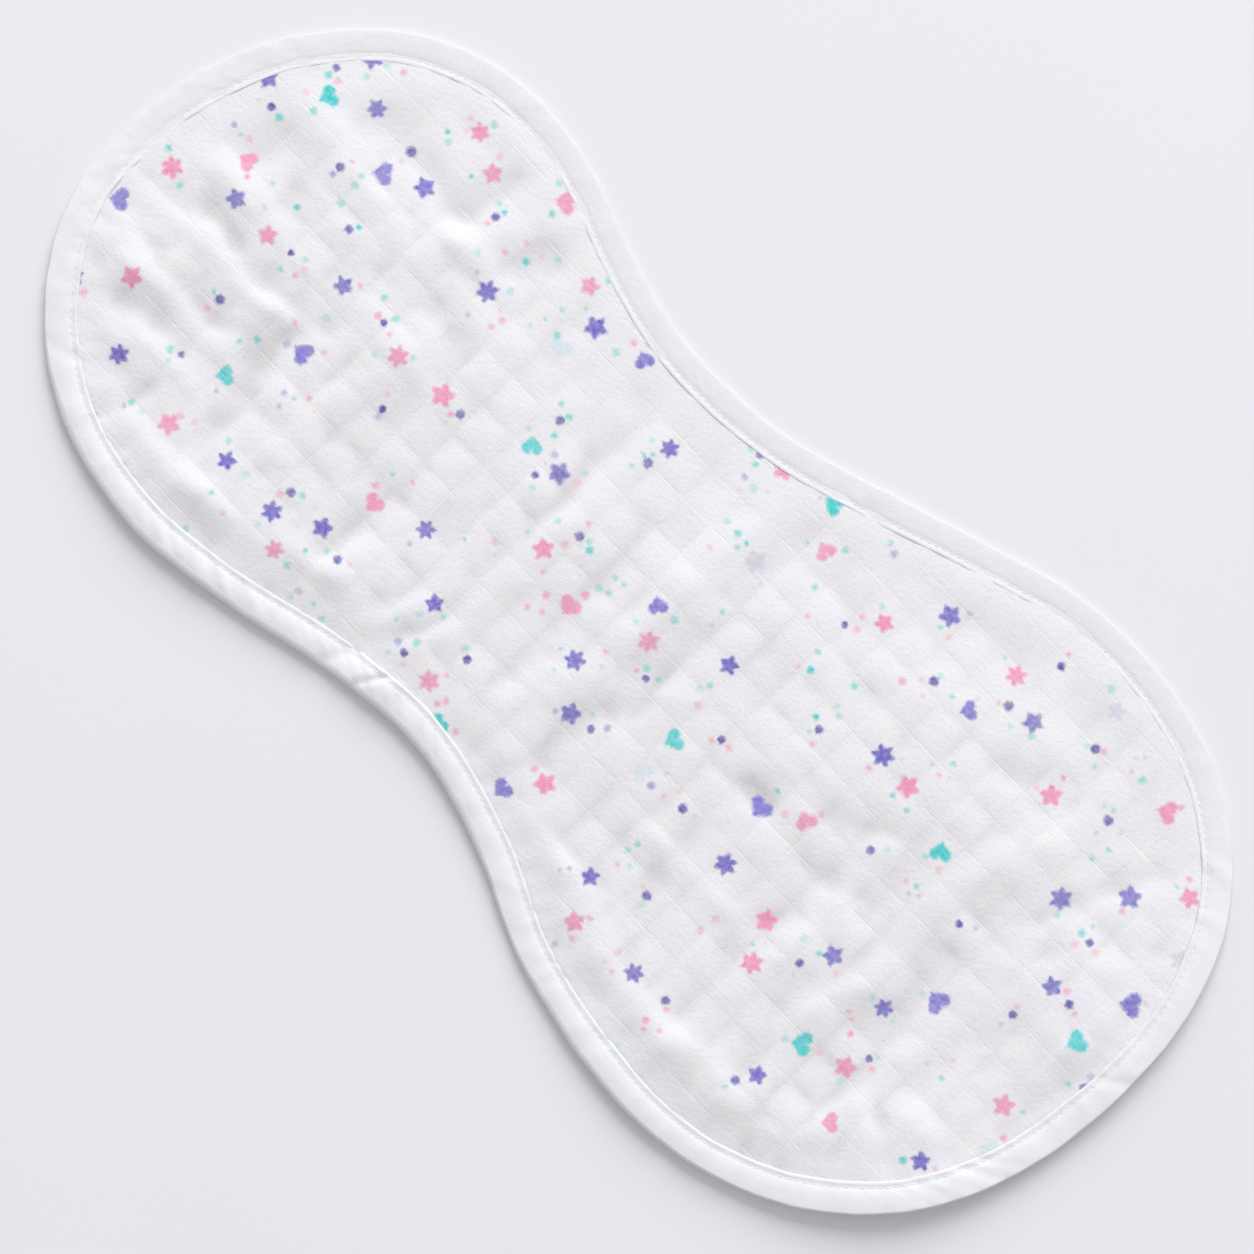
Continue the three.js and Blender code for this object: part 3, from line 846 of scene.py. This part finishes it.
class Finish:
    """A material, with short ways to add nodes to it."""

    def __init__(self, name):
        self.material = bpy.data.materials.new(name)
        self.material.use_nodes = True
        self.nodes = self.material.node_tree.nodes
        self.links = self.material.node_tree.links
        self.shader = self.nodes["Principled BSDF"]

    def add(self, kind, inputs=(), **settings):
        node = self.nodes.new(kind)
        for key, value in settings.items():
            setattr(node, key, value)
        for key, value in dict(inputs).items():
            self.feed(node.inputs[key], value)
        return node

    def feed(self, socket, value):
        if isinstance(value, bpy.types.NodeSocket):
            self.links.new(value, socket)
        else:
            socket.default_value = value

    def maths(self, operation, *values, clamp=False):
        node = self.add("ShaderNodeMath", enumerate(values), operation=operation, use_clamp=clamp)
        return node.outputs[0]

    def times(self, *values, clamp=False):
        return self.maths("MULTIPLY", *values, clamp=clamp)

    def scaled(self, value, factor, start):
        """The value times the factor, added to start."""
        return self.maths("MULTIPLY_ADD", value, factor, start)

    def reach(self, u, v):
        """How far a place u, v lies from 0, 0."""
        squares = self.maths("ADD", self.maths("POWER", u, 2.0), self.maths("POWER", v, 2.0))
        return self.maths("SQRT", squares)

    def blend(self, share, low, high):
        """Low where share is 0 and high where it is 1, for colours."""
        inputs = {0: share, 6: low, 7: high}
        return self.add("ShaderNodeMix", inputs, data_type="RGBA").outputs[2]

    def choose(self, share, low, high):
        """Low where share is 0 and high where it is 1, for numbers."""
        inputs = {0: share, 2: low, 3: high}
        return self.add("ShaderNodeMix", inputs, data_type="FLOAT").outputs[0]

    def attribute(self, name):
        return self.add("ShaderNodeAttribute", attribute_name=name).outputs

    def ease(self, value, start, end):
        """0 at start and 1 at end, with a smooth rise between."""
        inputs = {"Value": value, "From Min": start, "From Max": end}
        return self.add("ShaderNodeMapRange", inputs, interpolation_type="SMOOTHSTEP").outputs[0]

    def split(self, vector):
        return self.add("ShaderNodeSeparateXYZ", {"Vector": vector}).outputs

    def join(self, x, y, z=0.0):
        return self.add("ShaderNodeCombineXYZ", {"X": x, "Y": y, "Z": z}).outputs[0]

    def lumps(self, place, scale, detail=2.0, roughness=0.5):
        inputs = {"Vector": place, "Scale": scale, "Detail": detail, "Roughness": roughness}
        return self.add("ShaderNodeTexNoise", inputs).outputs["Fac"]

    def place_in_mm(self, uv_map):
        uv = self.add("ShaderNodeUVMap", uv_map=uv_map).outputs[0]
        scaled = self.add("ShaderNodeVectorMath", {0: uv, "Scale": 1000.0}, operation="SCALE")
        return scaled.outputs[0]

    def bump(self, height_mm, strength):
        inputs = {"Height": height_mm, "Distance": MM, "Strength": strength}
        self.feed(self.shader.inputs["Normal"], self.add("ShaderNodeBump", inputs).outputs[0])

    def surface(self, **values):
        for name, value in values.items():
            self.feed(self.shader.inputs[name.replace("_", " ")], value)


def plain_weave(finish, x, y, pitch):
    """The height of a plain weave's threads and how open the weave is, both from 0 to 1."""
    warp = finish.maths("SINE", finish.times(x, math.pi / pitch))
    weft = finish.maths("SINE", finish.times(y, math.pi / pitch))
    over = finish.times(finish.times(warp, weft), 1.6)
    over = finish.maths("MINIMUM", finish.maths("MAXIMUM", over, -1.0), 1.0)
    warp_round, weft_round = finish.maths("ABSOLUTE", warp), finish.maths("ABSOLUTE", weft)
    warp_lift = finish.scaled(over, 0.3, 0.7)
    weft_lift = finish.scaled(over, -0.3, 0.7)
    warp_height, weft_height = finish.times(warp_round, warp_lift), finish.times(weft_round, weft_lift)
    height = finish.maths("MAXIMUM", warp_height, weft_height)
    cover = finish.maths("MAXIMUM", warp_round, weft_round)
    gap = finish.ease(cover, 0.62, 0.2)
    return height, gap


def wandering(finish, place, most, scale):
    """The place's x and y, moved by most or less so that threads aren't quite straight."""
    x, y, _ = finish.split(place)
    drift_x = finish.scaled(finish.lumps(place, scale, 1.0), 2 * most, -most)
    elsewhere = {0: place, 1: (37.0, 11.0, 5.0)}
    moved = finish.add("ShaderNodeVectorMath", elsewhere, operation="ADD").outputs[0]
    drift_y = finish.scaled(finish.lumps(moved, scale, 1.0), 2 * most, -most)
    return finish.maths("ADD", x, drift_x), finish.maths("ADD", y, drift_y)


STAR_NOTCH = 2.7
STAR_POINT = 1.4
DOT_RADIUS = 1.75


def star_edge(finish, u, v, points):
    """How far outside a blunt star a place lies, in millimetres, and how far from its middle."""
    reach = finish.reach(u, v)
    point_turn = finish.times(finish.maths("ARCTAN2", v, u), points)
    wave = finish.scaled(finish.maths("COSINE", point_turn), 0.5, 0.5)
    rim = finish.scaled(finish.maths("POWER", wave, 1.2), STAR_POINT, STAR_NOTCH)
    return finish.times(finish.maths("SUBTRACT", reach, rim), 0.85), reach


def heart_edge(finish, u, v):
    """How far outside a heart a place lies, in millimetres: two round lobes and a wedge below them."""
    lobe_side, lobe_height, lobe_radius = 1.95, 1.1, 2.2
    notch, tip = 2.1, -3.6
    side_turn, top_turn = math.radians(48), math.radians(51)
    across = finish.maths("ABSOLUTE", u)
    off_middle = finish.maths("SUBTRACT", across, lobe_side), finish.maths("SUBTRACT", v, lobe_height)
    lobe = finish.maths("SUBTRACT", finish.reach(*off_middle), lobe_radius)
    above_tip = finish.times(finish.maths("SUBTRACT", v, tip), math.sin(side_turn))
    off_side = finish.maths("SUBTRACT", finish.times(across, math.cos(side_turn)), above_tip)
    above_notch = finish.times(finish.maths("SUBTRACT", v, notch), math.sin(top_turn))
    off_top = finish.maths("ADD", finish.times(across, math.cos(top_turn)), above_notch)
    return finish.maths("MINIMUM", lobe, finish.maths("MAXIMUM", off_side, off_top))


def inked(finish, cloth, layer, fray, threads):
    """The cloth's colour with one layer of print on it."""
    place = finish.attribute(layer + "_place")["Vector"]
    ink = finish.attribute(layer + "_ink")
    u, v, code = finish.split(place)
    if layer == "motif":
        star, reach = star_edge(finish, u, v, code)
        heart = heart_edge(finish, u, v)
        dot = finish.maths("SUBTRACT", reach, DOT_RADIUS)
        off = finish.choose(finish.maths("GREATER_THAN", code, 0.5), dot, heart)
        off = finish.choose(finish.maths("GREATER_THAN", code, 2.0), off, star)
        cover = finish.ease(finish.maths("ADD", off, fray), 0.9, -0.72)
    else:
        off = finish.maths("SUBTRACT", finish.reach(u, v), code)
        cover = finish.ease(finish.maths("ADD", off, fray), 0.8, -1.0)
    cover = finish.times(cover, ink["Alpha"])
    cover = finish.times(cover, threads, clamp=True)
    return finish.blend(cover, cloth, ink["Color"])


def muslin_finish():
    """White gauze in an open plain weave, tie lines, a soft print and painted shade in its hollows."""
    finish = Finish("crinkled_muslin")
    place = finish.place_in_mm("weave")
    x, y, _ = finish.split(place)
    thread_x, thread_y = wandering(finish, place, 0.22, 0.35)
    weave, gap = plain_weave(finish, thread_x, thread_y, MUSLIN_THREAD)

    slub_along = finish.lumps(finish.join(finish.times(x, 0.035), y), 1.7, 1.0)
    slub_across = finish.lumps(finish.join(x, finish.times(y, 0.035)), 1.7, 1.0)
    slub_across = finish.ease(slub_across, 0.54, 0.76)
    slubs = finish.maths("ADD", finish.ease(slub_along, 0.52, 0.74), slub_across)
    fluff = finish.lumps(place, 0.55, 4.0, 0.65)

    firmness = finish.ease(finish.lumps(place, 0.06, 2.0), 0.34, 0.62)
    line_along = finish.ease(finish.maths("PINGPONG", thread_y, TIE_PITCH / 2), 0.6, 0.1)
    line_across = finish.ease(finish.maths("PINGPONG", thread_x, TIE_PITCH / 2), 0.5, 0.1)
    line_across = finish.times(line_across, 0.9)
    tie_line = finish.times(finish.maths("MAXIMUM", line_along, line_across), firmness)
    hollow = finish.attribute("hollow")["Fac"]
    warmth = finish.ease(finish.lumps(place, 0.085, 3.0, 0.6), 0.36, 0.64)
    cloth = finish.blend(warmth, (0.824, 0.829, 0.882, 1), (0.842, 0.829, 0.858, 1))
    # Painted shade: darker and warmer where the hollow attribute is high, which also carries each tied
    # square's random tone.
    cloth = finish.blend(hollow, cloth, (0.682, 0.662, 0.692, 1))
    cloth = finish.blend(finish.times(slubs, 0.07), cloth, (0.92, 0.92, 0.94, 1))
    cloth = finish.blend(finish.times(gap, 0.3), cloth, (0.70, 0.69, 0.70, 1))
    cloth = finish.blend(finish.times(tie_line, 0.2), cloth, (0.93, 0.93, 0.95, 1))

    fray = finish.scaled(finish.lumps(place, 0.75, 3.0, 0.75), 2.9, -1.45)
    threads = finish.scaled(gap, -0.4, 1.0)
    threads = finish.times(threads, finish.scaled(fluff, 0.9, 0.52))
    for layer in ("sprinkle_a", "sprinkle_b", "motif"):
        cloth = inked(finish, cloth, layer, fray, threads)

    height = finish.times(weave, 0.07)
    height = finish.scaled(slubs, 0.015, height)
    height = finish.scaled(fluff, 0.36, height)
    height = finish.scaled(tie_line, -0.07, height)
    finish.bump(height, 0.8)
    finish.surface(Base_Color=cloth, Roughness=0.95, Sheen_Weight=0.12, Sheen_Roughness=0.6)
    finish.surface(Specular_IOR_Level=0.2)
    return finish.material


def strip_finish():
    """White cotton in a close plain weave, cut on the slant, with painted shade on its outer fold."""
    finish = Finish("bias_cotton")
    place = finish.place_in_mm("weave")
    x, y, _ = finish.split(place)
    slant_x = finish.times(finish.maths("ADD", x, y), math.sqrt(0.5))
    slant_y = finish.times(finish.maths("SUBTRACT", x, y), math.sqrt(0.5))
    weave, gap = plain_weave(finish, slant_x, slant_y, COTTON_THREAD)
    mottle = finish.lumps(place, 0.35, 3.0, 0.6)
    fluff = finish.lumps(place, 1.6, 2.0, 0.6)
    cloth = finish.blend(mottle, (0.818, 0.82, 0.856, 1), (0.848, 0.85, 0.887, 1))
    cloth = finish.blend(finish.times(gap, 0.25), cloth, (0.76, 0.75, 0.77, 1))
    # Painted shade: greyer on the outer roll, where the rim attribute is 1.
    rim = finish.attribute("rim")["Fac"]
    cloth = finish.blend(rim, cloth, (0.72, 0.716, 0.745, 1))
    height = finish.times(weave, 0.035)
    height = finish.scaled(fluff, 0.12, height)
    height = finish.scaled(mottle, 0.2, height)
    finish.bump(height, 0.8)
    finish.surface(Base_Color=cloth, Roughness=0.9, Sheen_Weight=0.08, Sheen_Roughness=0.6)
    finish.surface(Specular_IOR_Level=0.25)
    return finish.material


def thread_finish():
    """White sewing thread with its twist."""
    finish = Finish("sewing_thread")
    place = finish.place_in_mm("thread")
    x, y, _ = finish.split(place)
    round_thread = finish.scaled(y, 1.2, x)
    twist = finish.maths("SINE", finish.times(round_thread, 14.0))
    twist = finish.scaled(twist, 0.5, 0.5)
    # Painted shade: darker in the twist's grooves and lighter on its ridges, where the bump also falls
    # and rises.
    cloth = finish.blend(twist, (0.79, 0.79, 0.82, 1), (0.88, 0.88, 0.905, 1))
    finish.bump(finish.times(twist, 0.04), 0.8)
    finish.surface(Base_Color=cloth, Roughness=0.65, Sheen_Weight=0.05, Specular_IOR_Level=0.35)
    return finish.material


def table_finish():
    """A smooth matt pale table."""
    finish = Finish("pale_table")
    place = finish.add("ShaderNodeTexCoord").outputs["Object"]
    mottle = finish.lumps(place, 6.0, 3.0, 0.5)
    tone = finish.blend(mottle, (0.815, 0.806, 0.852, 1), (0.832, 0.822, 0.868, 1))
    finish.surface(Base_Color=tone, Roughness=0.85, Specular_IOR_Level=0.15)
    return finish.material


# The cloth on its table


def make_cloth(table):
    panel = muslin_panel()
    panel.data.materials.append(muslin_finish())
    strip = edge_binding()
    strip.data.materials.append(strip_finish())
    stitches = seam_stitches()
    stitches.data.materials.append(thread_finish())

    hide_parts("muslin_panel")
    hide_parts("edge_binding")


def make_table():
    bpy.ops.object.select_all(action="DESELECT")
    bpy.ops.mesh.primitive_plane_add(size=24.0, location=(0, 0, -0.0001))
    table = bpy.context.object
    table.name = "table_top"
    bpy.ops.object.transform_apply(location=True)
    table.data.materials.append(table_finish())
    return table


# View and light


CAMERA_HEIGHT = 1.5
CAMERA_TURN = 46
PICTURE_WIDTH = 0.4598
PICTURE_CENTRE = (0.00515, -0.00286)
LIGHT_DISTANCE = 8.0
LIGHT_SIZE = 6.0
LIGHT_ELEVATION = 32
LIGHT_SIDE = 18  # degrees to the right of the picture's top
LIGHT_POWER = 640
SKY_STRENGTH = 0.56


def make_camera():
    data = bpy.data.cameras.new("overhead")
    data.lens = data.sensor_width * CAMERA_HEIGHT / PICTURE_WIDTH
    camera = placed("overhead", data)
    camera.location = (*PICTURE_CENTRE, CAMERA_HEIGHT)
    camera.rotation_euler = (0, 0, math.radians(CAMERA_TURN))
    bpy.context.scene.camera = camera


def make_light():
    toward = math.radians(CAMERA_TURN + 90 - LIGHT_SIDE)
    rise = math.radians(LIGHT_ELEVATION)
    direction = Vector((
        math.cos(toward) * math.cos(rise), math.sin(toward) * math.cos(rise), math.sin(rise),
    ))
    data = bpy.data.lights.new("window", "AREA")
    data.size = LIGHT_SIZE
    data.energy = LIGHT_POWER
    data.color = (0.985, 0.995, 1.0)
    light = placed("window", data)
    light.location = direction * LIGHT_DISTANCE
    light.rotation_euler = direction.to_track_quat("Z", "Y").to_euler()

    world = bpy.data.worlds.new("soft_room")
    world.use_nodes = True
    sky = world.node_tree.nodes["Background"].inputs
    sky["Color"].default_value = (1, 0.985, 0.975, 1)
    sky["Strength"].default_value = SKY_STRENGTH
    bpy.context.scene.world = world
    bpy.context.scene.view_settings.view_transform = "Standard"


make_camera()
make_light()
make_cloth(make_table())
